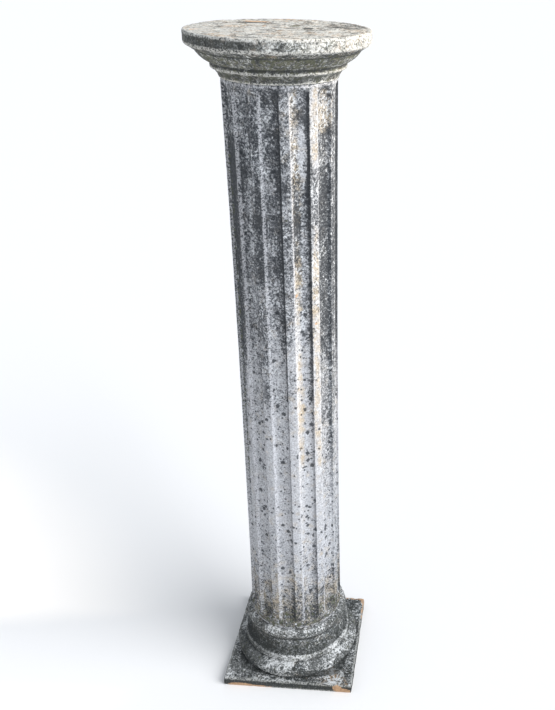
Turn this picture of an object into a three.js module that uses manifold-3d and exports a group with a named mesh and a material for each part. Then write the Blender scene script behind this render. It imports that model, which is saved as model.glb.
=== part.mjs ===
// A garden column of cast stone: an Attic base on a square slab, a fluted shaft and a round capital.
// Millimetres, +Z up. The origin is the centre of the underside, and the slab's sides face X and Y.
import * as THREE from "three";
import { mergeVertices } from "three/addons/utils/BufferGeometryUtils.js";
import Module from "manifold-3d";

const wasm = await Module();
wasm.setup();

// Driving dimensions of the whole column
const columnHeight = 1300;
const beddingJoint = 0.3; // the fine joint between two castings

// Driving dimensions of the base, from the ground up
const slabSide = 270;
const slabThickness = 19;
const slabArris = 1.2; // worn edge of the slab
const torusRadius = 129.5;
const torusHeight = 34;
const torusBedding = 1; // how far the torus's curve runs into the slab
const creaseDepth = 3; // groove between the torus and the fillet above it
const creaseHeight = 2;
const filletRadius = 112;
const filletHeight = 14;
const scotiaThroatRadius = 97.5;
const scotiaLowerHeight = 20; // from the fillet up to the throat
const scotiaUpperHeight = 17; // from the throat up to the ring
const scotiaUpperFlare = 3;
const baseRingRadius = 106.5;
const baseRingHeight = 23;

// Driving dimensions of the fluted shaft
const footRadius = 94.5;
const waistRadius = 92.3;
const neckRadius = 96;
const waistShare = 0.46; // height of the narrowest place, as a share of the shaft's height
const fluteCount = 12;
const fluteWidth = 32.5;
const fluteDepth = 8.5;
const fluteEndLength = 13; // how far a flute's round end runs out
const footBand = 18; // plain band under the flutes
const neckBand = 6; // plain band over the flutes
const shaftTwist = -1.2 * Math.PI / 180; // the shaft was set down a little turned on its base

// Driving dimensions of the capital, from the top down
const discRadius = 151.2;
const discArris = 1.8; // worn upper edge of the disc
const rimHeight = 23;
const rimRound = 6; // round under the rim
const soffitRadius = 135;
const soffitDrop = 7;
const ovoloHeight = 19.5;
const ovoloBulge = 2.6;
const neckRingRadius = 111.4;
const neckRingHeight = 8;
const cavettoRadius = 97.8; // where the cavetto meets the joint
const cavettoHeight = 15.8;
const cavettoHollow = 2.2;
const cavettoStep = 1.8; // underside of the neck ring, before the cavetto starts

// Fineness of the round work
const roundSides = 48;
const shaftRows = 14; // rings of corners along the flutes' straight run
const fluteEndRows = 4; // rings of corners in each round end
const fluteSteps = 6; // straight steps across one flute

const turn = 2 * Math.PI;
const point = (radius, height) => new THREE.Vector2(radius, height);

function castStone(colour, roughness) {
  return new THREE.MeshStandardMaterial({ color: colour, roughness, metalness: 0 });
}

// A round stretch of an outline about a centre. Angles are shares of a turn, counted up from the outside.
function roundStretch(centre, across, up, startShare, endShare, steps) {
  const backwards = endShare < startShare;
  const curve = new THREE.EllipseCurve(
    centre.x, centre.y, across, up, startShare * turn, endShare * turn, backwards, 0,
  );
  return curve.getPoints(steps);
}

// A slanting stretch of an outline that swells out by a bulge, or is hollowed where the bulge is negative
function swelledStretch(start, end, bulge, steps) {
  const chord = end.clone().sub(start);
  const outward = point(chord.y, -chord.x).normalize();
  const control = start.clone().add(end).multiplyScalar(0.5).addScaledVector(outward, 2 * bulge);
  return new THREE.QuadraticBezierCurve(start, control, end).getPoints(steps);
}

// A solid turned about the column's axis from an outline that runs up from the axis and back to it
function turned(outline) {
  const geometry = new THREE.LatheGeometry(outline, roundSides);
  geometry.rotateX(Math.PI / 2);
  return geometry;
}

function toSolid(geometry) {
  const bare = geometry.clone();
  bare.deleteAttribute("normal");
  bare.deleteAttribute("uv");
  const merged = mergeVertices(bare, 1e-4);
  const corners = merged.index.array;
  const kept = [];
  for (let i = 0; i < corners.length; i += 3) {
    const [a, b, c] = [corners[i], corners[i + 1], corners[i + 2]];
    if (a !== b && b !== c && c !== a) kept.push(a, b, c);
  }
  return new wasm.Manifold(new wasm.Mesh({
    numProp: 3,
    vertProperties: new Float32Array(merged.attributes.position.array),
    triVerts: new Uint32Array(kept),
  }));
}

function toGeometry(solid) {
  const mesh = solid.getMesh();
  const geometry = new THREE.BufferGeometry();
  geometry.setAttribute("position", new THREE.BufferAttribute(new Float32Array(mesh.vertProperties), 3));
  geometry.setIndex(new THREE.BufferAttribute(new Uint32Array(mesh.triVerts), 1));
  geometry.computeVertexNormals();
  return geometry;
}

// The base casting: a square slab with worn edges, and on it a torus, a fillet, a scotia and a ring
const torusTop = slabThickness + torusHeight;
const filletTop = torusTop + filletHeight;
const throatHeight = filletTop + scotiaLowerHeight;
const ringBottom = throatHeight + scotiaUpperHeight;
const baseTop = ringBottom + baseRingHeight;

function slab() {
  const half = slabSide / 2 - slabArris;
  const plan = new THREE.Shape([point(-half, -half), point(half, -half), point(half, half), point(-half, half)]);
  const geometry = new THREE.ExtrudeGeometry(plan, {
    depth: slabThickness - 2 * slabArris,
    bevelEnabled: true,
    bevelThickness: slabArris,
    bevelSize: slabArris,
    bevelSegments: 1,
  });
  geometry.translate(0, 0, slabArris);
  return geometry;
}

function baseMouldings() {
  const torusUp = (torusHeight + torusBedding) / 2;
  const torusCentre = point(torusRadius - torusUp, torusTop - torusUp);
  const ringUp = baseRingHeight / 2;
  const ringCentre = point(baseRingRadius - ringUp, ringBottom + ringUp);
  const throatFlare = filletRadius - scotiaThroatRadius;
  return turned([
    point(0, slabThickness / 2),
    point(torusCentre.x, slabThickness / 2),
    ...roundStretch(torusCentre, torusUp, torusUp, -0.25, 0.22, 9),
    point(filletRadius - creaseDepth, torusTop),
    point(filletRadius, torusTop + creaseHeight),
    ...roundStretch(point(filletRadius, throatHeight), throatFlare, scotiaLowerHeight, -0.25, -0.5, 5),
    ...roundStretch(
      point(scotiaThroatRadius + scotiaUpperFlare, throatHeight), scotiaUpperFlare, scotiaUpperHeight, -0.5, -0.74, 3,
    ).slice(1),
    ...roundStretch(ringCentre, ringUp, ringUp, -0.17, 0.25, 7),
    point(0, baseTop),
  ]);
}

function columnBase() {
  return toGeometry(toSolid(slab()).add(toSolid(baseMouldings())));
}

// The capital casting: a round disc, and under it an ovolo, a neck ring and a cavetto down to the joint
const rimBottom = columnHeight - rimHeight;
const soffitBottom = rimBottom - soffitDrop;
const ovoloBottom = soffitBottom - ovoloHeight;
const neckRingBottom = ovoloBottom - neckRingHeight;
const capitalBottom = neckRingBottom - cavettoHeight;

function columnCapital() {
  const cavettoTop = point(neckRingRadius - cavettoStep, neckRingBottom - cavettoStep / 2);
  const rimCentre = point(discRadius - rimRound, rimBottom + rimRound);
  return turned([
    point(0, capitalBottom),
    ...swelledStretch(point(cavettoRadius, capitalBottom), cavettoTop, -cavettoHollow, 4),
    point(neckRingRadius, neckRingBottom),
    ...swelledStretch(point(neckRingRadius, ovoloBottom), point(soffitRadius, soffitBottom), ovoloBulge, 5),
    ...roundStretch(rimCentre, rimRound, rimRound, -0.2, 0, 3),
    point(discRadius, columnHeight - discArris),
    point(discRadius - discArris, columnHeight),
    point(0, columnHeight),
  ]);
}

// The shaft casting: slightly waisted, with round-ended flutes parted by flat fillets
const shaftBottom = baseTop + beddingJoint;
const shaftTop = capitalBottom - beddingJoint;
const fluteBottom = shaftBottom + footBand;
const fluteTop = shaftTop - neckBand;

function shaftRadius(height) {
  const share = (height - shaftBottom) / (shaftTop - shaftBottom);
  if (share < waistShare) {
    return waistRadius + (footRadius - waistRadius) * ((waistShare - share) / waistShare) ** 2;
  }
  return waistRadius + (neckRadius - waistRadius) * ((share - waistShare) / (1 - waistShare)) ** 2;
}

// Depth of a flute: a half-oval hollow, with ends rounded like the mark of a ball-nosed tool
function fluteDepthAt(across, height) {
  const beyond = Math.max(fluteBottom + fluteEndLength - height, height - fluteTop + fluteEndLength, 0);
  const reach = (2 * across / fluteWidth) ** 2 + (beyond / fluteEndLength) ** 2;
  return fluteDepth * Math.sqrt(Math.max(0, 1 - reach));
}

function shaftHeights() {
  const heights = [shaftBottom];
  for (let i = 0; i <= fluteEndRows; i++) {
    heights.push(fluteBottom + fluteEndLength * (1 - Math.cos(turn / 4 * i / fluteEndRows)));
  }
  const straight = fluteTop - fluteBottom - 2 * fluteEndLength;
  for (let i = 1; i < shaftRows; i++) {
    heights.push(fluteBottom + fluteEndLength + straight * i / shaftRows);
  }
  for (let i = fluteEndRows; i >= 0; i--) {
    heights.push(fluteTop - fluteEndLength * (1 - Math.cos(turn / 4 * i / fluteEndRows)));
  }
  heights.push(shaftTop);
  return heights;
}

// Angles of the corners round the shaft, and how far each is from its flute's centre line. A flute faces
// each side of the slab, but for the shaft's twist. The steps are closest at a flute's steep edges.
function shaftCorners() {
  const corners = [];
  for (let flute = 0; flute < fluteCount; flute++) {
    for (let step = 0; step <= fluteSteps; step++) {
      const across = -fluteWidth / 2 * Math.cos(turn / 2 * step / fluteSteps);
      corners.push({ angle: turn * flute / fluteCount + across / waistRadius, across });
    }
  }
  return corners;
}

function flutedShaft() {
  const corners = shaftCorners();
  const heights = shaftHeights();
  const plan = new THREE.Shape(corners.map(({ angle }) => point(Math.cos(angle), Math.sin(angle))));
  const geometry = new THREE.ExtrudeGeometry(plan, { depth: 1, steps: heights.length - 1, bevelEnabled: false });
  const position = geometry.attributes.position;
  for (let i = 0; i < position.count; i++) {
    const height = heights[Math.round(position.getZ(i) * (heights.length - 1))];
    const angle = Math.atan2(position.getY(i), position.getX(i));
    const pitch = turn / fluteCount;
    const across = (angle - pitch * Math.round(angle / pitch)) * waistRadius;
    const radius = shaftRadius(height) - fluteDepthAt(across, height);
    position.setXYZ(i, radius * Math.cos(angle), radius * Math.sin(angle), height);
  }
  geometry.rotateZ(shaftTwist);
  geometry.computeVertexNormals();
  return geometry;
}

function piece(name, geometry, material) {
  const mesh = new THREE.Mesh(geometry, material);
  mesh.name = name;
  return mesh;
}

const column = new THREE.Group();
column.add(piece("column_base", columnBase(), castStone(0x5f6062, 0.95)));
column.add(piece("fluted_shaft", flutedShaft(), castStone(0x8b8d90, 0.93)));
column.add(piece("column_capital", columnCapital(), castStone(0xa6a49c, 0.92)));

export default column;
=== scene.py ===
import math

import bmesh
import bpy
from mathutils import Matrix, Vector, noise


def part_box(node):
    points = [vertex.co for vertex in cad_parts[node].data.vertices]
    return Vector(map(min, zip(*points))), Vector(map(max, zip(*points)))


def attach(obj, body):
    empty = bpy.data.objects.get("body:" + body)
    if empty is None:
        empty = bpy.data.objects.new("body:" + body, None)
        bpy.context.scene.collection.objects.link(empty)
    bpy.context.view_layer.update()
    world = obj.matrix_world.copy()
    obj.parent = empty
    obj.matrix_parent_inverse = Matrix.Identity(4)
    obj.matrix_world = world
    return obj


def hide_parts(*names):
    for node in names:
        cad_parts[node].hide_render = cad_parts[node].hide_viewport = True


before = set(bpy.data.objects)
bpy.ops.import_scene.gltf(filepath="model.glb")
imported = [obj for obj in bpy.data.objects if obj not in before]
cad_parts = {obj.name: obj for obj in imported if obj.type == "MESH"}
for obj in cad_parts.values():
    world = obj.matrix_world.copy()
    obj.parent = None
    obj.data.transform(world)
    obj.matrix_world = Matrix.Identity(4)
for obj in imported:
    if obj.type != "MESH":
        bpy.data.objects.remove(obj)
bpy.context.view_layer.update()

# The base casting: a square slab, and on it a torus, a fillet, a scotia and a ring, all of one piece of
# cast stone. It was poured in a mould and stands on the ground, so it is the dirtiest of the castings,
# with black crust and painted shade in its hollows and pale lichen on the round of its mouldings.
mm = 0.001
tiny = 1e-6
base_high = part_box("column_base")[1]
slab_half = base_high.x
base_top = base_high.z
slab_thickness = 19 * mm
slab_arris = 1.2 * mm
torus_radius = 129.5 * mm
torus_height = 34 * mm
torus_bedding = 1 * mm  # how far the torus's curve runs into the slab
crease_depth = 3 * mm
crease_height = 2 * mm
fillet_radius = 112 * mm
fillet_height = 14 * mm
throat_radius = 97.5 * mm
scotia_lower_height = 20 * mm
scotia_upper_flare = 3 * mm
base_ring_radius = 106.5 * mm
base_ring_height = 23 * mm
base_spacing = 1.6 * mm
base_sides = 48
base_cuts = 9
shortest_edge = 0.5 * mm
sharp_bend = 300  # the bend, in radians to the metre, that counts as fully sharp


def round_stretch(centre, across, up, start, end, steps=16):
    """Points of a round stretch of an outline, from one angle in degrees to another."""
    turns = [math.radians(start + (end - start) * i / steps) for i in range(steps + 1)]
    return [(centre[0] + across * math.cos(t), centre[1] + up * math.sin(t)) for t in turns]


def evenly_spaced(outline, spacing):
    """The same outline with a point about every spacing along it, and its two ends kept."""
    points = [Vector(p) for p in outline]
    lengths = [0.0]
    for a, b in zip(points, points[1:]):
        lengths.append(lengths[-1] + (b - a).length)
    count = round(lengths[-1] / spacing)
    result = []
    leg = 0
    for i in range(count + 1):
        wanted = lengths[-1] * i / count
        while leg < len(points) - 2 and lengths[leg + 1] < wanted:
            leg += 1
        share = (wanted - lengths[leg]) / max(lengths[leg + 1] - lengths[leg], tiny)
        result.append(points[leg].lerp(points[leg + 1], min(1.0, share)))
    return result


def lies_round(edge):
    """True for an edge that runs round the column and not along its outline."""
    a, b = edge.verts[0].co, edge.verts[1].co
    reach = a.xy.length
    return reach > tiny and abs(reach - b.xy.length) < tiny and abs(a.z - b.z) < tiny


def turned(outline, sides, cuts):
    """A closed form turned about the column's axis, spun in a few sides that are then cut finer."""
    bm = bmesh.new()
    verts = [bm.verts.new((p[0], 0, p[1])) for p in outline]
    edges = [bm.edges.new(pair) for pair in zip(verts, verts[1:])]
    bmesh.ops.spin(
        bm, geom=verts + edges, cent=(0, 0, 0), axis=(0, 0, 1),
        angle=2 * math.pi, steps=sides, use_merge=True,
    )
    bmesh.ops.remove_doubles(bm, verts=bm.verts, dist=tiny)
    rings = [e for e in bm.edges if lies_round(e)]
    bmesh.ops.subdivide_edges(bm, edges=rings, cuts=cuts, use_grid_fill=True)
    sector = 2 * math.pi / sides
    for v in bm.verts:
        off_middle = math.atan2(v.co.y, v.co.x) % sector - sector / 2
        v.co.xy *= math.cos(off_middle) / math.cos(sector / 2)
    bmesh.ops.recalc_face_normals(bm, faces=bm.faces)
    return bm


def mark_shape(bm, spread):
    """Stores how hollow and how proud each point of the clean form is, for grime and painted shade, and
    for wear.
    """
    hollow = bm.verts.layers.float.new("hollow")
    proud = bm.verts.layers.float.new("proud")
    bm.verts.index_update()
    bend = [0.0] * len(bm.verts)
    for e in bm.edges:
        turn = e.calc_face_angle_signed(0) / max(e.calc_length(), shortest_edge)
        for v in e.verts:
            bend[v.index] += turn
    pairs = [(e.verts[0].index, e.verts[1].index) for e in bm.edges]
    for _ in range(spread):
        total = list(bend)
        count = [1] * len(bend)
        for a, b in pairs:
            total[a] += bend[b]
            total[b] += bend[a]
            count[a] += 1
            count[b] += 1
        bend = [t / c for t, c in zip(total, count)]
    for v in bm.verts:
        v[proud] = max(0.0, min(1.0, bend[v.index] / sharp_bend))
        v[hollow] = max(0.0, min(1.0, -bend[v.index] / sharp_bend))


# how many of each go to a metre of stone
waves_per_metre = 30
grains_per_metre = 160
holes_per_metre = 95
hole_groups_per_metre = 60
bites_per_metre = 48
small_bites_per_metre = 130
hole_reach = 0.34  # an air hole's radius, as a share of the way to the next one
hole_group_edge = 5  # how suddenly a group of holes ends
bite_pull = 2.5  # how soon a proud point is bitten as deeply as an arris
bite_gap = 0.1  # where the noise is under this, the arris is whole


def weather(bm, seed, grain, pits, bites, floor=-1.0):
    """Roughens the clean form: a slow waviness, sandy grain, air-hole pits and bitten arrises."""
    proud = bm.verts.layers.float["proud"]
    shift = Vector((seed * 1.7, seed * 0.9, seed * 2.3))
    bm.normal_update()
    moves = []
    for v in bm.verts:
        p = v.co + shift
        lift = noise.noise(p * waves_per_metre) * grain
        lift += noise.fractal(p * grains_per_metre, 0.9, 2.1, 2) * grain
        near = noise.voronoi(p * holes_per_metre)[0][0]
        gate = noise.noise(p * hole_groups_per_metre + shift)
        lift -= pits * max(0.0, 1 - near / hole_reach) * max(0.0, min(1.0, gate * hole_group_edge))
        bite = noise.noise(p * bites_per_metre) + 0.5 * noise.noise(p * small_bites_per_metre)
        lift -= bites * min(1.0, v[proud] * bite_pull) * max(0.0, bite - bite_gap)
        moves.append(v.normal * lift)
    for v, move in zip(bm.verts, moves):
        if v.co.z > floor:
            v.co += move


def on_curve(curve, height):
    """The value at a height, read off a few (height in mm, value) points."""
    low = curve[0]
    for high in curve:
        if height <= high[0]:
            share = (height - low[0]) / max(high[0] - low[0], tiny)
            return low[1] + (high[1] - low[1]) * max(0.0, share)
        low = high
    return low[1]


def stain(bm, name, curve, zones=(), unevenness=0.12, per_metre=14):
    """Lays one kind of weathering on a piece: how much at each height, and zones with more or less.

    A zone is its bearing in degrees from -Y towards +X, its height in mm, how far it reaches each way
    in degrees and in mm, and the change at its middle, which fades over the outer part of its reach.
    """
    layer = bm.verts.layers.float.new(name)
    for v in bm.verts:
        bearing = math.degrees(math.atan2(v.co.x, -v.co.y))
        height = v.co.z / mm
        drift = noise.noise(v.co * per_metre + Vector((len(name), 0, 0)))
        value = on_curve(curve, height) + unevenness * drift
        for zone_bearing, zone_height, wide, tall, change in zones:
            rise = (height - zone_height) / tall
            if abs(rise) < 1:
                off = ((bearing - zone_bearing + 180) % 360 - 180) / wide
                value += change * max(0.0, min(1.0, 2 * (1 - off * off - rise * rise)))
        v[layer] = max(0.0, min(1.0, value))


def stain_spots(bm, name, places):
    """Adds to a weathering layer around places in space: a centre and reaches in mm, and the change."""
    layer = bm.verts.layers.float[name]
    for centre, reach, change in places:
        for v in bm.verts:
            away = sum(((c / mm - m) / r) ** 2 for c, m, r in zip(v.co, centre, reach))
            if away < 1:
                v[layer] = max(0.0, min(1.0, v[layer] + change * min(1.0, 2 * (1 - away))))


def chipped(bm, places):
    """Marks where fresh chips lie bare, around places in space as stain_spots takes them."""
    bm.verts.layers.float.new("raw")
    stain_spots(bm, "raw", places)


def linear(red, green, blue):
    """A shader colour from its red, green and blue as they look on a screen, 0 to 255."""
    return (*(((c / 255 + 0.055) / 1.055) ** 2.4 for c in (red, green, blue)), 1)


def wired(tree, kind, inputs, **settings):
    """A shader node with its settings, and its inputs set to values or joined to other nodes."""
    made = tree.nodes.new(kind)
    for name, value in settings.items():
        setattr(made, name, value)
    for key, value in inputs.items():
        if isinstance(value, bpy.types.NodeSocket):
            tree.links.new(value, made.inputs[key])
        else:
            made.inputs[key].default_value = value
    return made


def calculated(tree, operation, first, second, third=0.0):
    node = wired(tree, "ShaderNodeMath", {0: first, 1: second, 2: third}, operation=operation)
    return node.outputs[0]


def thinned(tree, share, thickness):
    """A cover made thinner all over, so that it lets through some of what is under it."""
    return calculated(tree, "MULTIPLY", share, thickness)


def laid_over(tree, share, under, over, blend="MIX"):
    """A colour laid over another one, as thickly as its share says."""
    mix = wired(
        tree, "ShaderNodeMix", {0: share, 6: under, 7: over}, data_type="RGBA", blend_type=blend,
    )
    return mix.outputs[2]


def stepped(tree, value, none_at, full_at):
    """0 at one value and beyond it, 1 at the other and beyond it, and a soft step between them."""
    step = wired(
        tree, "ShaderNodeMapRange", {"Value": value, "From Min": none_at, "From Max": full_at},
        interpolation_type="SMOOTHSTEP",
    )
    return step.outputs[0]


def cloud(tree, place, scale, detail, roughness=0.6):
    """Soft random patches, about one over the scale in metres wide, from 0 to 1 around a half."""
    noise_node = wired(
        tree, "ShaderNodeTexNoise",
        {"Vector": place, "Scale": scale, "Detail": detail, "Roughness": roughness},
    )
    return noise_node.outputs[0]


# nearly all of a cloud lies between these values
cloud_low = 0.27
cloud_high = 0.73


def patches(tree, place, cover, scale, detail, softness):
    """Hard-edged random patches that take up about as much of the stone as the cover says."""
    edge = calculated(tree, "MULTIPLY_ADD", cover, cloud_low - cloud_high, cloud_high)
    over_edge = calculated(tree, "SUBTRACT", cloud(tree, place, scale, detail), edge)
    return stepped(tree, over_edge, -softness, softness)


smallest_spot = 0.4  # its radius, as a share of the largest one's


def round_spots(tree, place, cover, scale, radius):
    """Round colonies of black lichen, of random size. The cover says how many of the cells hold one."""
    cells = wired(tree, "ShaderNodeTexVoronoi", {"Vector": place, "Scale": scale})
    chance = wired(tree, "ShaderNodeSeparateColor", {"Color": cells.outputs["Color"]})
    smallest = smallest_spot * radius * scale
    spread = (1 - smallest_spot) * radius * scale
    size = calculated(tree, "MULTIPLY_ADD", chance.outputs["Green"], spread, smallest)
    inside = calculated(tree, "DIVIDE", cells.outputs["Distance"], size)
    blot = stepped(tree, inside, 1.05, 0.72)
    taken = calculated(tree, "LESS_THAN", chance.outputs["Red"], cover)
    return calculated(tree, "MULTIPLY", blot, taken)


dark_grain = (0.05, 0.054, 0.06, 1)
pale_grain = (0.68, 0.70, 0.72, 1)
raw_dark = linear(146, 106, 78)
raw_light = linear(234, 194, 152)
# the same brightness lightens the painted highlight along the flutes' arrises
rubbed_and_highlit_brightness = 1.35  # of a rubbed arris, against the clean stone


def weathered_stone(name, grimy_and_shaded, clean, crust, lichen, moss, warm):
    """Cast stone as years outdoors leave it, from the weathering layers of the piece that wears it."""
    paint = bpy.data.materials.new(name)
    paint.use_nodes = True
    tree = paint.node_tree
    shader = tree.nodes["Principled BSDF"]

    # a point's place, and the same place shifted a little to and fro, which frays the patches' edges
    straight = wired(tree, "ShaderNodeTexCoord", {}).outputs["Object"]
    fray = wired(tree, "ShaderNodeTexNoise", {"Vector": straight, "Scale": 260, "Detail": 1})
    fray = wired(
        tree, "ShaderNodeVectorMath", {0: fray.outputs["Color"], "Scale": 4 * mm}, operation="SCALE",
    )
    place = wired(tree, "ShaderNodeVectorMath", {0: straight, 1: fray.outputs[0]}, operation="ADD")
    place = place.outputs[0]

    def layer(layer_name):
        return wired(tree, "ShaderNodeAttribute", {}, attribute_name=layer_name).outputs["Fac"]

    def covered(layer_name, scale, detail, softness):
        return patches(tree, place, layer(layer_name), scale, detail, softness)

    # the stone's own body: grimy to clean, which also carries some painted shade and painted sunlight,
    # with the sand and small stones of the mix
    uneven = calculated(tree, "SUBTRACT", cloud(tree, place, scale=70, detail=4), 0.5)
    paleness = calculated(tree, "ADD", layer("pale"), uneven)
    colour = laid_over(tree, stepped(tree, paleness, 0.15, 0.85), grimy_and_shaded, clean)
    sand = cloud(tree, straight, scale=340, detail=2, roughness=0.75)
    dark_sand = stepped(tree, sand, 0.49, 0.34)
    dark_share = thinned(tree, stepped(tree, layer("pale"), 1.35, 0.35), 0.85)
    colour = laid_over(tree, calculated(tree, "MULTIPLY", dark_sand, dark_share), colour, dark_grain)
    pale_sand = stepped(tree, sand, 0.51, 0.66)
    colour = laid_over(tree, thinned(tree, pale_sand, 0.7), colour, pale_grain)

    # warm iron and tannin stains, then the pale lichen, the black crust and spots, and the moss
    stained = covered("warm", scale=60, detail=4, softness=0.2)
    colour = laid_over(tree, stained, colour, warm, "MULTIPLY")
    flecks = covered("lichen", scale=215, detail=3, softness=0.03)
    colour = laid_over(tree, flecks, colour, lichen)
    broad_crust = covered("crust", scale=100, detail=5, softness=0.06)
    colour = laid_over(tree, thinned(tree, broad_crust, 0.5), colour, crust)
    fine_crust = covered("crust", scale=275, detail=4, softness=0.045)
    colour = laid_over(tree, thinned(tree, fine_crust, 0.8), colour, crust)
    large_spots = round_spots(tree, place, layer("spots"), scale=75, radius=5.2 * mm)
    small_spots = round_spots(tree, place, layer("spots"), scale=140, radius=2.9 * mm)
    spots = calculated(tree, "MAXIMUM", large_spots, small_spots)
    colour = laid_over(tree, thinned(tree, spots, 0.85), colour, crust)
    mossy = covered("moss", scale=140, detail=4, softness=0.05)
    colour = laid_over(tree, thinned(tree, mossy, 0.8), colour, moss)

    # grime and painted shade darken the hollows, proud points are rubbed pale, with painted highlight on
    # the flutes' arrises, and fresh chips show the warm raw mix
    grime_and_shade = stepped(tree, layer("hollow"), 0.05, 0.5)
    colour = laid_over(tree, thinned(tree, grime_and_shade, 0.75), colour, crust)
    arrises = stepped(tree, layer("proud"), 0.1, 0.7)
    rubbed_and_highlit = calculated(tree, "MULTIPLY", arrises, stepped(tree, sand, 0.40, 0.56))
    rubbed_and_highlit_stone = (*(min(1, c * rubbed_and_highlit_brightness) for c in clean[:3]), 1)
    colour = laid_over(tree, thinned(tree, rubbed_and_highlit, 0.7), colour, rubbed_and_highlit_stone)
    ragged = calculated(tree, "MULTIPLY_ADD", cloud(tree, place, scale=150, detail=3), 1.4, layer("raw"))
    raw_mix = laid_over(tree, cloud(tree, straight, scale=220, detail=2), raw_dark, raw_light)
    colour = laid_over(tree, thinned(tree, stepped(tree, ragged, 1.15, 1.3), 0.8), colour, raw_mix)
    tree.links.new(colour, shader.inputs["Base Color"])

    # the crust and lichen stand a little proud of the face, and the gaps between grains sink into it
    relief = calculated(tree, "MULTIPLY", sand, 1.2)
    relief = calculated(tree, "MULTIPLY_ADD", fine_crust, 0.35, relief)
    relief = calculated(tree, "MULTIPLY_ADD", flecks, 0.3, relief)
    bump = wired(tree, "ShaderNodeBump", {"Strength": 0.7, "Distance": 0.8 * mm, "Height": relief})
    tree.links.new(bump.outputs[0], shader.inputs["Normal"])
    roughness = calculated(tree, "MULTIPLY_ADD", fine_crust, -0.08, 0.94)
    tree.links.new(roughness, shader.inputs["Roughness"])
    shader.inputs["Specular IOR Level"].default_value = 0.3
    return paint


def piece(name, bm):
    """A smooth-shaded object from a bmesh, riding on the column's one body."""
    mesh = bpy.data.meshes.new(name)
    bm.to_mesh(mesh)
    bm.free()
    mesh.shade_smooth()
    obj = bpy.data.objects.new(name, mesh)
    bpy.context.scene.collection.objects.link(obj)
    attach(obj, "root")
    return obj


def base_outline():
    torus_top = slab_thickness + torus_height
    torus_up = (torus_height + torus_bedding) / 2
    torus_centre = (torus_radius - torus_up, torus_top - torus_up)
    throat = torus_top + fillet_height + scotia_lower_height
    ring_up = base_ring_height / 2
    ring_centre = (base_ring_radius - ring_up, base_top - ring_up)
    scotia_upper_height = base_top - base_ring_height - throat
    seen = evenly_spaced([
        (slab_half - slab_arris, 0),
        (slab_half, slab_arris),
        (slab_half, slab_thickness - slab_arris),
        (slab_half - slab_arris, slab_thickness),
        *round_stretch(torus_centre, torus_up, torus_up, -70, 79),
        (fillet_radius - crease_depth, torus_top),
        (fillet_radius, torus_top + crease_height),
        *round_stretch(
            (fillet_radius, throat), fillet_radius - throat_radius, scotia_lower_height, -90, -180,
        ),
        *round_stretch(
            (throat_radius + scotia_upper_flare, throat), scotia_upper_flare, scotia_upper_height,
            180, 94,
        )[1:],
        *round_stretch(ring_centre, ring_up, ring_up, -61, 90),
    ], base_spacing)
    return [(0, 0), *seen, (0, base_top)]


def square_the_slab(bm):
    """Draws the round rows beyond the torus out into the square slab."""
    round_until = 112 * mm
    square_from = slab_half - 3 * mm
    for v in bm.verts:
        reach = math.hypot(v.co.x, v.co.y)
        if v.co.z < slab_thickness + 0.2 * mm and reach > round_until:
            share = min(1.0, (reach - round_until) / (square_from - round_until))
            corner = reach / max(abs(v.co.x), abs(v.co.y))
            v.co.xy *= 1 + share * (corner - 1)


base_bm = turned(base_outline(), base_sides, base_cuts)
square_the_slab(base_bm)
mark_shape(base_bm, spread=2)

# how clean the stone is: grimiest on the slab's edge, and cleanest by its front right corner
stain(
    base_bm, "pale",
    curve=[(0, 0.2), (18, 0.2), (19, 0.3), (60, 0.28), (85, 0.35), (110, 0.25), (127, 0.3)],
    zones=[(35, 19, 14, 8, 0.3)],
)

# black crust: thickest on the slab's edge, and thicker on the left, the ring's right and the back
stain(
    base_bm, "crust",
    curve=[
        (0, 0.75), (18, 0.75), (19, 0.42), (30, 0.44), (45, 0.54), (60, 0.5), (75, 0.44),
        (100, 0.42), (108, 0.5), (122, 0.5), (127, 0.36),
    ],
    zones=[
        (-50, 60, 35, 60, 0.15), (75, 112, 20, 20, 0.15), (150, 30, 60, 60, 0.1),
        (5, 90, 25, 16, -0.08), (-62, 19, 30, 8, -0.06),
    ],
    unevenness=0.3, per_metre=30,
)

# pale lichen: thickest on the torus and the fillet, and thinnest in the scotia
stain(
    base_bm, "lichen",
    curve=[
        (0, 0.1), (18, 0.1), (19, 0.48), (36, 0.42), (45, 0.62), (56, 0.74), (66, 0.84),
        (76, 0.33), (100, 0.22), (112, 0.3), (122, 0.42),
    ],
    zones=[
        (-50, 75, 30, 40, -0.12), (28, 60, 22, 22, 0.12), (11, 45, 7, 25, -0.35),
        (-12, 122, 30, 10, 0.15), (-62, 19, 30, 10, 0.22), (-20, 50, 25, 14, 0.05),
        (60, 116, 20, 16, -0.15), (35, 19, 12, 8, 0.1), (120, 19, 35, 10, -0.12),
    ],
    unevenness=0.27, per_metre=75,
)

# a few black spots and a little moss, and fresh chips along the slab's edges
stain(base_bm, "spots", curve=[(0, 0.3)])
stain(base_bm, "moss", curve=[(0, 0.15), (80, 0.22), (127, 0.15)])
stain(base_bm, "warm", curve=[(0, 0.15)], zones=[(35, 19, 14, 8, 0.5)])
chipped(
    base_bm,
    places=[
        ((-100, -135, 3), (30, 7, 7), 0.75), ((-62, -135, 0), (34, 7, 6), 0.75),
        ((118, -135, 1), (18, 8, 12), 0.95), ((104, -135, 10), (11, 7, 12), 0.8),
        ((134, 128, 17), (9, 14, 8), 0.7), ((110, 134, 18), (28, 8, 6), 0.6),
        ((135, 92, 17), (5, 34, 6), 0.6),
    ],
)
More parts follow.
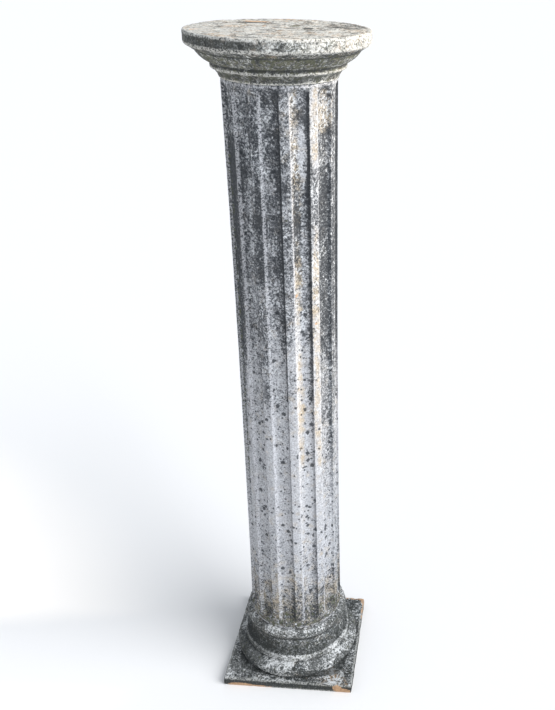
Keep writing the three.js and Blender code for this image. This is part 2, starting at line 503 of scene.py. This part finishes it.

# the mouldings are rubbed less than the slab's edges, and the crease over the torus gets little of the
# grime and painted shade of the hollows
moulding_wear = 0.4
crease_reach = 5 * mm
crease_grime_and_shade = 0.2
hollow, proud = base_bm.verts.layers.float["hollow"], base_bm.verts.layers.float["proud"]
for v in base_bm.verts:
    if v.co.z > slab_thickness + 1 * mm:
        v[proud] *= moulding_wear
    if abs(v.co.z - slab_thickness - torus_height) < crease_reach:
        v[hollow] *= crease_grime_and_shade
weather(base_bm, seed=1, grain=0.35 * mm, pits=1.2 * mm, bites=3 * mm, floor=0.5 * mm)
base = piece("base_casting", base_bm)
base.data.materials.append(weathered_stone(
    "base_stone", grimy_and_shaded=linear(88, 91, 90), clean=linear(164, 163, 158), crust=linear(50, 52, 50),
    lichen=linear(216, 216, 214), moss=linear(80, 82, 62), warm=linear(255, 214, 170),
))
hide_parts("column_base")


# The shaft casting: a slightly waisted drum with round-ended flutes parted by flat fillets, of the same
# cast stone. It stands on the base's ring, and its flutes hold crust, black lichen spots and, along one
# edge, painted shade.
shaft_low, shaft_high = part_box("fluted_shaft")
shaft_bottom, shaft_top = shaft_low.z, shaft_high.z
neck_radius = shaft_high.x
foot_radius = 94.5 * mm
waist_radius = 92.3 * mm
waist_share = 0.46
flute_count = 12
flute_width = 32.5 * mm
flute_depth = 8.5 * mm
flute_end_length = 13 * mm
foot_band = 18 * mm
neck_band = 6 * mm
shaft_twist = math.radians(-1.2)
shaft_sides = 60
shaft_cuts = 4
shaft_rows = 318
# The mesh's upright lines, from a flute's middle to near the next fillet's. A side is counted in half
# flute widths from the flute's middle, so that 1 is its arris.
flute_stations = (0, 0.22, 0.42, 0.6, 0.75, 0.86, 0.94, 1.0, 1.05, 1.13, 1.22, 1.32, 1.44)


def shaft_radius(height):
    share = (height - shaft_bottom) / (shaft_top - shaft_bottom)
    if share < waist_share:
        below = (waist_share - share) / waist_share
        return waist_radius + (foot_radius - waist_radius) * below ** 2
    above = (share - waist_share) / (1 - waist_share)
    return waist_radius + (neck_radius - waist_radius) * above ** 2


def flute_depth_at(side, height):
    """Depth of a half-oval hollow whose ends are rounded like the mark of a ball-nosed tool."""
    lower_end = shaft_bottom + foot_band + flute_end_length
    upper_end = shaft_top - neck_band - flute_end_length
    beyond = max(lower_end - height, height - upper_end, 0)
    return flute_depth * math.sqrt(max(0.0, 1 - side ** 2 - (beyond / flute_end_length) ** 2))


def fluted_drum():
    """A drum turned from its waisted outline, with each point then drawn in to its flute."""
    rise = (shaft_top - shaft_bottom) / shaft_rows
    heights = [shaft_bottom + rise * i for i in range(shaft_rows + 1)]
    outline = [(0, shaft_bottom), *[(shaft_radius(h), h) for h in heights], (0, shaft_top)]
    bm = turned(outline, shaft_sides, shaft_cuts)
    flute_side = bm.verts.layers.float.new("flute_side")
    lines_per_flute = 2 * len(flute_stations) - 1
    pitch = 2 * math.pi / flute_count
    for v in bm.verts:
        reach = v.co.xy.length
        if reach < tiny:
            continue
        line = round(math.atan2(v.co.y, v.co.x) / pitch * lines_per_flute)
        flute = (line + len(flute_stations) - 1) // lines_per_flute
        station = line - flute * lines_per_flute
        side = math.copysign(flute_stations[abs(station)], station)
        angle = pitch * flute + side * flute_width / 2 / waist_radius + shaft_twist
        reach -= flute_depth_at(side, v.co.z)
        v.co.xy = (reach * math.cos(angle), reach * math.sin(angle))
        v[flute_side] = side
    for e in bm.edges:
        if all(abs(v[flute_side]) == 1 and flute_depth_at(0, v.co.z) > 0 for v in e.verts):
            e.smooth = False
    return bm


# The sides between which dirt and painted shade darken a flute, then the bearings between which that
# darkening is weaker, and how much of it is left. It thickens between the two heights, and over them the
# painted highlight on the arrises is weaker.
edge_dark_from, edge_dark_to = 0.15, 0.8
past_arris = 1.02
weak_edge_from, weak_edge_to = 50, 72
weak_edge_share = 0.3
thin_edge_dark_height, full_edge_dark_height = 450 * mm, 750 * mm
least_edge_dark = 0.6
upper_highlight = 0.6

# what the dirt and painted shade add to the crust and to the hollows' darkening, what the dirt adds to
# the black spots, and how many spots the fillets lose
edge_crust_and_shade = 0.22
edge_shade = 0.35
edge_spots = 0.2
lost_spots = 0.3


def flute_edge_dirt_shade_and_highlight(bm):
    """Darkens one inner edge of every flute with dirt and painted shade, and gives the arris on its other
    edge a painted highlight.

    The darkening is weaker on the flute between bearings of 50 and 72 degrees.
    """
    flute_side, crust = bm.verts.layers.float["flute_side"], bm.verts.layers.float["crust"]
    hollow, proud = bm.verts.layers.float["hollow"], bm.verts.layers.float["proud"]
    spots = bm.verts.layers.float["spots"]
    for v in bm.verts:
        side = v[flute_side]
        in_flute = flute_depth_at(0, v.co.z) / flute_depth
        if weak_edge_from < math.degrees(math.atan2(v.co.x, -v.co.y)) < weak_edge_to:
            in_flute *= weak_edge_share
        toward_edge = max(0.0, min(1.0, (side - edge_dark_from) / (edge_dark_to - edge_dark_from)))
        toward_edge *= (side < past_arris) * in_flute
        grown = (v.co.z - thin_edge_dark_height) / (full_edge_dark_height - thin_edge_dark_height)
        grown = max(least_edge_dark, min(1.0, grown))
        v[crust] = min(1.0, v[crust] + edge_crust_and_shade * toward_edge * grown)
        # painted shadow in the flute's inner corner, laid on as the grime of a hollow
        if 0.85 < side < past_arris:
            v[hollow] = max(v[hollow], edge_shade * in_flute * grown)
        v[spots] = max(0.0, v[spots] + (edge_spots * toward_edge if abs(side) < 1 else -lost_spots))
        # no rubbing, so no highlight, along the shaded arris
        if 0.9 < side < 1.2:
            v[proud] = 0.0
        # painted highlight along the arris on the flute's other edge
        if -1.1 < side < -0.85:
            v[proud] = max(v[proud], in_flute * (upper_highlight if v.co.z > full_edge_dark_height else 1.0))


shaft_bm = fluted_drum()
mark_shape(shaft_bm, spread=1)

# how clean the stone is: cleanest low down and darkest down the left. The fillet at 45 degrees and the
# flute wall beside it are paler, partly clean stone and partly painted sunlight, and the flute and fillet
# at 60 to 75 degrees are darker, as painted shade
stain(
    shaft_bm, "pale",
    curve=[
        (127, 0.25), (200, 0.5), (250, 0.72), (400, 0.9), (560, 0.88), (700, 0.72), (850, 0.55),
        (1000, 0.45), (1226, 0.42),
    ],
    zones=[
        (45, 1165, 7, 90, 0.22), (45, 1040, 7, 70, 0.05), (45, 880, 7, 130, 0.3),
        (45, 700, 7, 110, 0.2), (33, 1130, 5, 90, 0.25), (24, 880, 6, 130, 0.12),
        (24, 690, 6, 110, 0.25), (-45, 450, 25, 250, -0.12), (62, 1180, 12, 40, 0.08),
        (62, 750, 13, 430, -0.3), (75, 700, 9, 500, -0.3), (-70, 800, 26, 480, -0.4),
        (-15, 900, 7, 300, -0.15), (-15, 350, 8, 120, -0.15), (0, 560, 9, 150, -0.15),
    ],
)

# black crust: at the foot and over the upper half, little of it on the fillet at 45 degrees and the wall
# beside it, and more on the flute and fillet at 60 to 75 degrees, where it is painted shade
stain(
    shaft_bm, "crust",
    curve=[
        (127, 0.45), (160, 0.42), (240, 0.24), (330, 0.08), (560, 0.08), (640, 0.2), (800, 0.38),
        (1000, 0.46), (1226, 0.45),
    ],
    zones=[
        (45, 1165, 7, 90, -0.36), (45, 880, 7, 130, -0.12), (45, 700, 7, 110, -0.08),
        (24, 1140, 6, 100, -0.04), (24, 985, 6, 70, 0.22), (24, 880, 6, 130, -0.12),
        (24, 690, 6, 110, -0.18), (33, 1110, 5, 60, -0.35), (33, 850, 5, 200, -0.12),
        (62, 1180, 12, 40, -0.2), (60, 800, 11, 360, 0.12), (76, 650, 9, 480, 0.12),
        (-66, 880, 24, 420, 0.2), (-25, 1050, 7, 250, -0.12), (-50, 1080, 20, 90, 0.15),
        (-48, 940, 14, 240, 0.16), (-8, 1160, 16, 60, 0.06), (38, 950, 4, 60, -0.08),
        (-15, 980, 7, 110, 0.22), (-15, 750, 7, 120, 0.12), (60, 560, 10, 150, 0.1),
    ],
    unevenness=0.2, per_metre=30,
)

# flecks of lichen up high, black spots most of all low down, and moss at the foot and down the left
stain(
    shaft_bm, "lichen",
    curve=[(127, 0.3), (250, 0.1), (600, 0.15), (800, 0.32), (1226, 0.35)],
    unevenness=0.2, per_metre=40,
)
stain(
    shaft_bm, "spots",
    curve=[(127, 0.6), (250, 0.65), (560, 0.6), (700, 0.4), (900, 0.2), (1226, 0.3)],
    unevenness=0.6,
)
stain(
    shaft_bm, "moss",
    curve=[(127, 0.4), (200, 0.2), (300, 0.0)],
    zones=[(-74, 800, 20, 450, 0.4)],
)

# rusty tints at the foot, and cream ones, which are painted sunlight, down the fillet at 45 degrees, the
# wall beside it and the top of the flute at 60 degrees
stain(
    shaft_bm, "warm",
    curve=[(127, 0.6), (190, 0.5), (260, 0.2), (330, 0.05), (1226, 0.05)],
    zones=[
        (24, 1160, 7, 70, 0.45), (25, 1040, 7, 80, 0.5), (25, 890, 6, 90, 0.5),
        (24, 640, 6, 140, 0.5), (45, 1160, 7, 70, 0.4), (45, 850, 7, 160, 0.5),
        (45, 620, 7, 120, 0.4), (62, 1180, 12, 45, 0.5),
    ],
)
chipped(shaft_bm, places=[((34, -80, 872), (4, 4, 6), 0.75), ((62, -66, 815), (4, 4, 5), 0.75)])
flute_edge_dirt_shade_and_highlight(shaft_bm)
weather(shaft_bm, seed=2, grain=0.25 * mm, pits=0.8 * mm, bites=1 * mm)
shaft = piece("shaft_casting", shaft_bm)
shaft.data.materials.append(weathered_stone(
    "shaft_stone", grimy_and_shaded=linear(114, 117, 121), clean=linear(184, 184, 187), crust=linear(48, 51, 55),
    lichen=linear(206, 208, 210), moss=linear(88, 91, 70), warm=linear(255, 236, 206),
))
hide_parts("fluted_shaft")


# The capital casting: a round disc with a rounded rim, and under it an ovolo, a neck ring and a cavetto,
# of the same cast stone. It is bedded on the shaft's neck, and standing rain has stained its top.
capital_low, capital_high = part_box("column_capital")
capital_bottom, column_top = capital_low.z, capital_high.z
disc_radius = capital_high.x
disc_arris = 1.8 * mm
rim_height = 23 * mm
rim_round = 6 * mm
soffit_radius = 135 * mm
soffit_drop = 7 * mm
ovolo_height = 19.5 * mm
ovolo_bulge = 2.6 * mm
neck_ring_radius = 111.4 * mm
neck_ring_height = 8 * mm
cavetto_radius = 97.8 * mm
cavetto_hollow = 2.2 * mm
cavetto_step = 1.8 * mm
capital_side_spacing = 1.5 * mm
capital_top_spacing = 2.5 * mm
capital_sides = 48
capital_cuts = 9


def swelled_stretch(start, end, bulge, steps=12):
    """A slanting stretch of an outline that swells out by a bulge, or is hollowed by a negative one."""
    start, end = Vector(start), Vector(end)
    chord = end - start
    outward = Vector((chord.y, -chord.x)).normalized()
    points = []
    for i in range(steps + 1):
        t = i / steps
        points.append(start.lerp(end, t) + outward * (4 * bulge * t * (1 - t)))
    return points


def capital_outline():
    rim_bottom = column_top - rim_height
    soffit_bottom = rim_bottom - soffit_drop
    ovolo_bottom = soffit_bottom - ovolo_height
    ring_bottom = ovolo_bottom - neck_ring_height
    cavetto_top = (neck_ring_radius - cavetto_step, ring_bottom - cavetto_step / 2)
    rim_centre = (disc_radius - rim_round, rim_bottom + rim_round)
    side = evenly_spaced([
        *swelled_stretch((cavetto_radius, capital_bottom), cavetto_top, -cavetto_hollow),
        (neck_ring_radius, ring_bottom),
        *swelled_stretch((neck_ring_radius, ovolo_bottom), (soffit_radius, soffit_bottom), ovolo_bulge),
        *round_stretch(rim_centre, rim_round, rim_round, -72, 0),
        (disc_radius, column_top - disc_arris),
        (disc_radius - disc_arris, column_top),
    ], capital_side_spacing)
    top = evenly_spaced([(disc_radius - disc_arris, column_top), (0, column_top)], capital_top_spacing)
    return [(0, capital_bottom), *side, *top[1:]]


capital_bm = turned(capital_outline(), capital_sides, capital_cuts)
mark_shape(capital_bm, spread=2)

# how clean the stone is: cleanest on the disc's top, and darkest on the left of its rim, partly painted
# shade
stain(
    capital_bm, "pale",
    curve=[
        (1226, 0.35), (1250, 0.35), (1276, 0.35), (1280, 0.4), (1298, 0.5), (1299.5, 0.5),
        (1300, 0.95),
    ],
    zones=[(-60, 1288, 60, 12, -0.55), (60, 1288, 50, 12, 0.05), (30, 1235, 60, 8, 0.1)],
    unevenness=0.35, per_metre=60,
)

# black crust: thickest under the disc, with one dark gap in the neck ring's pale band, and thinner on the
# right of the rim and the ovolo, partly painted light
stain(
    capital_bm, "crust",
    curve=[
        (1226, 0.46), (1250, 0.48), (1276, 0.5), (1280, 0.4), (1298, 0.34), (1299.5, 0.34),
        (1300, 0.33),
    ],
    zones=[(60, 1288, 50, 12, -0.2), (80, 1245, 40, 25, -0.12), (-9.5, 1246, 4, 8, 0.6)],
    unevenness=0.26, per_metre=75,
)

# flecks of lichen, fewest on the left of the rim as part of its painted shade, then moss under the disc,
# and warm stains on its top
stain(
    capital_bm, "lichen",
    curve=[(1226, 0.34), (1276, 0.27), (1282, 0.3), (1300, 0.35)],
    zones=[(-60, 1288, 60, 12, -0.25)],
    unevenness=0.25, per_metre=50,
)
stain(capital_bm, "spots", curve=[(1226, 0.2), (1300, 0.15)])
stain(capital_bm, "moss", curve=[(1226, 0.36), (1270, 0.48), (1280, 0.0), (1300, 0.1)])
stain(
    capital_bm, "warm",
    curve=[(1226, 0.1), (1298, 0.1), (1300, 0.22)],
    unevenness=0.4, per_metre=20,
)

# dark marks, a tuft of moss and fresh chips on the disc's top, and painted shade on the rim's left, laid
# on as the grime of a hollow
stain_spots(
    capital_bm, "crust",
    places=[
        ((48, 8, 1300), (10, 12, 4), 0.6), ((-50, 72, 1300), (40, 9, 4), 0.5),
        ((110, 70, 1300), (45, 55, 4), 0.2),
    ],
)
stain_spots(capital_bm, "moss", places=[((22, 39, 1300), (10, 16, 4), 0.7)])
stain_spots(capital_bm, "hollow", places=[((-75, -130, 1289), (95, 90, 12), 0.4)])
chipped(
    capital_bm,
    places=[
        ((-52, 90, 1300), (27, 11, 4), 0.9), ((-27, 24, 1300), (4, 9, 4), 0.8),
        ((-123, -49, 1300), (9, 16, 4), 0.55),
    ],
)
weather(capital_bm, seed=3, grain=0.3 * mm, pits=1 * mm, bites=1.5 * mm)
capital = piece("capital_casting", capital_bm)
capital.data.materials.append(weathered_stone(
    "capital_stone", grimy_and_shaded=linear(116, 117, 110), clean=linear(190, 188, 182), crust=linear(58, 60, 59),
    lichen=linear(220, 220, 214), moss=linear(93, 94, 74), warm=linear(255, 218, 180),
))
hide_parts("column_capital")


# The stand-in ground, the studio light and the camera, none of them a part of the column. Soft light
# falls from the right and a warm lamp lights the top, and the camera stands at the photograph's angle.
slab_side = 2 * slab_half
ground_half = 60
ground_bm = bmesh.new()
bmesh.ops.create_grid(ground_bm, x_segments=1, y_segments=1, size=ground_half)
ground_mesh = bpy.data.meshes.new("ground")
ground_bm.to_mesh(ground_mesh)
ground_bm.free()
ground = bpy.data.objects.new("ground", ground_mesh)
bpy.context.scene.collection.objects.link(ground)
ground_paint = bpy.data.materials.new("pale_floor")
ground_paint.use_nodes = True
ground_shader = ground_paint.node_tree.nodes["Principled BSDF"]
ground_shader.inputs["Base Color"].default_value = (0.98, 0.95, 0.92, 1)
ground_shader.inputs["Roughness"].default_value = 0.9
ground.data.materials.append(ground_paint)

sky = bpy.data.worlds.new("studio_sky")
sky.use_nodes = True
sky.node_tree.nodes["Background"].inputs["Color"].default_value = (0.84, 0.91, 1.0, 1)
sky.node_tree.nodes["Background"].inputs["Strength"].default_value = 0.6
bpy.context.scene.world = sky
bpy.context.scene.view_settings.view_transform = "Standard"


def hung_light(name, kind, place, aim, colour, strength):
    """A studio lamp hung at a place and turned to what it lights."""
    lamp = bpy.data.lights.new(name, kind)
    lamp.color = colour
    lamp.energy = strength
    obj = bpy.data.objects.new(name, lamp)
    place = Vector(place)
    turn = (Vector(aim) - place).to_track_quat("-Z", "Y").to_matrix().to_4x4()
    obj.matrix_world = Matrix.Translation(place) @ turn
    bpy.context.scene.collection.objects.link(obj)
    return lamp


side_light = hung_light(
    "soft_side_light", "SUN", place=(2.4, -1.1, 2.6), aim=(0, 0, 0.7),
    colour=(0.93, 0.96, 1.0), strength=3,
)
side_light.angle = math.radians(50)
key_light = hung_light(
    "warm_key", "SPOT", place=(2.24, 0.32, 2.3), aim=(0, 0, 1.34),
    colour=(1.0, 0.89, 0.73), strength=260,
)
key_light.shadow_soft_size = 0.15
key_light.spot_size = math.radians(34)
key_light.spot_blend = 0.12

frame_height = 710
focal_length_px = 890.2
lens_centre_x = 396.7
frame_centre_x = 277.5
camera_data = bpy.data.cameras.new("camera")
camera_data.sensor_width = 36
camera_data.lens = camera_data.sensor_width * focal_length_px / frame_height
camera_data.shift_x = -(lens_centre_x - frame_centre_x) / frame_height
camera_data.clip_start = 0.05
camera_data.clip_end = 200
camera = bpy.data.objects.new("camera", camera_data)
camera_distance = 5.637 * slab_side
camera_height = 5.409 * slab_side
camera_azimuth = math.radians(10.818)
camera_pan = math.radians(3.12)
camera_tilt = math.radians(26.051)
camera_roll = math.radians(1.496)
standing_at = Vector((
    camera_distance * math.sin(camera_azimuth),
    -camera_distance * math.cos(camera_azimuth),
    camera_height,
))
camera.matrix_world = (
    Matrix.Translation(standing_at)
    @ Matrix.Rotation(camera_pan, 4, "Z")
    @ Matrix.Rotation(math.pi / 2 - camera_tilt, 4, "X")
    @ Matrix.Rotation(camera_roll, 4, "Z")
)
bpy.context.scene.collection.objects.link(camera)
bpy.context.scene.camera = camera

bpy.context.view_layer.update()
